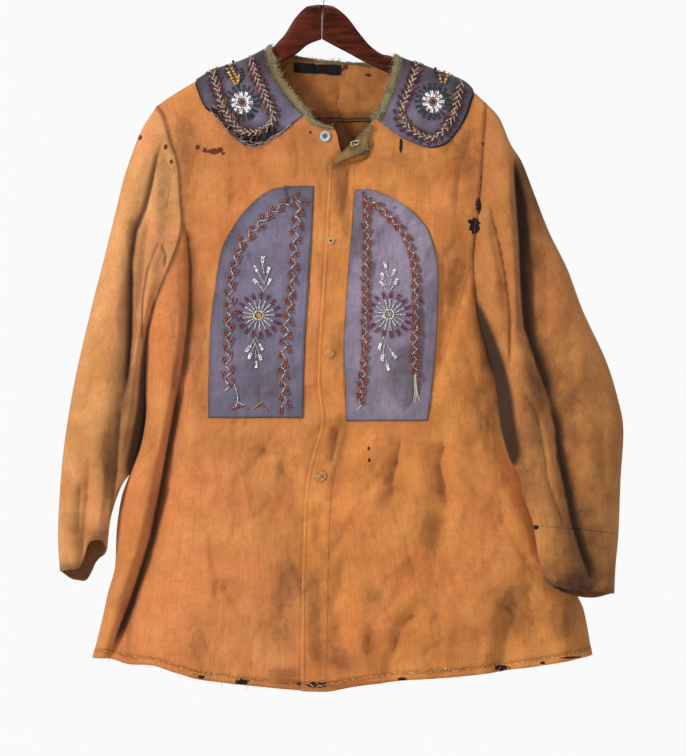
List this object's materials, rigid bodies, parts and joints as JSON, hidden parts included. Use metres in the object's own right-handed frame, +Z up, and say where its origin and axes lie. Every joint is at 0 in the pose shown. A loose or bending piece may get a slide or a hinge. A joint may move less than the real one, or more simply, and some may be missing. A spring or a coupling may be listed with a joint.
{
  "type": "beaded tunic on a hanger",
  "caption": "Ochre canvas tunic with mauve beaded collar and chest patches, long sleeves and a button front, hanging open at the neck on a dark wooden hanger with a wire hook",
  "frame": {"origin": "inner top of the hook, where it hangs on a rail, with the stem below it", "axes": "+Z up, -Y out of the tunic's front, +X to the wearer's left"},
  "size_m": [0.795, 0.1237, 1.035],
  "materials": {
    "canvas": "worn woven canvas",
    "canvas_inside": "inside of the canvas",
    "mauve_cloth": "faded mauve-grey cloth with glass beads",
    "olive_tape": "frayed tape",
    "black_cloth": "plain black cloth",
    "pale_button": "glossy",
    "brown_button": "dull brown",
    "wood": "dark varnish",
    "steel": "bright wire"
  },
  "bodies": {
    "root": {"front_right": "canvas", "front_left": "canvas", "back": "canvas", "sleeve_right": "canvas", "sleeve_left": "canvas", "cuff_left": "canvas", "front_left_corner": "canvas", "button_middle": "canvas", "back_facing": "canvas_inside", "collar_right": "mauve_cloth", "collar_left": "mauve_cloth", "patch_right": "mauve_cloth", "patch_left": "mauve_cloth", "neck_binding_right": "olive_tape", "neck_binding_left": "olive_tape", "label": "black_cloth", "button_top": "pale_button", "button_upper": "brown_button", "button_lower": "brown_button", "hanger_right": "wood", "hanger_left": "wood", "hook": "steel"}
  },
  "joints": []
}
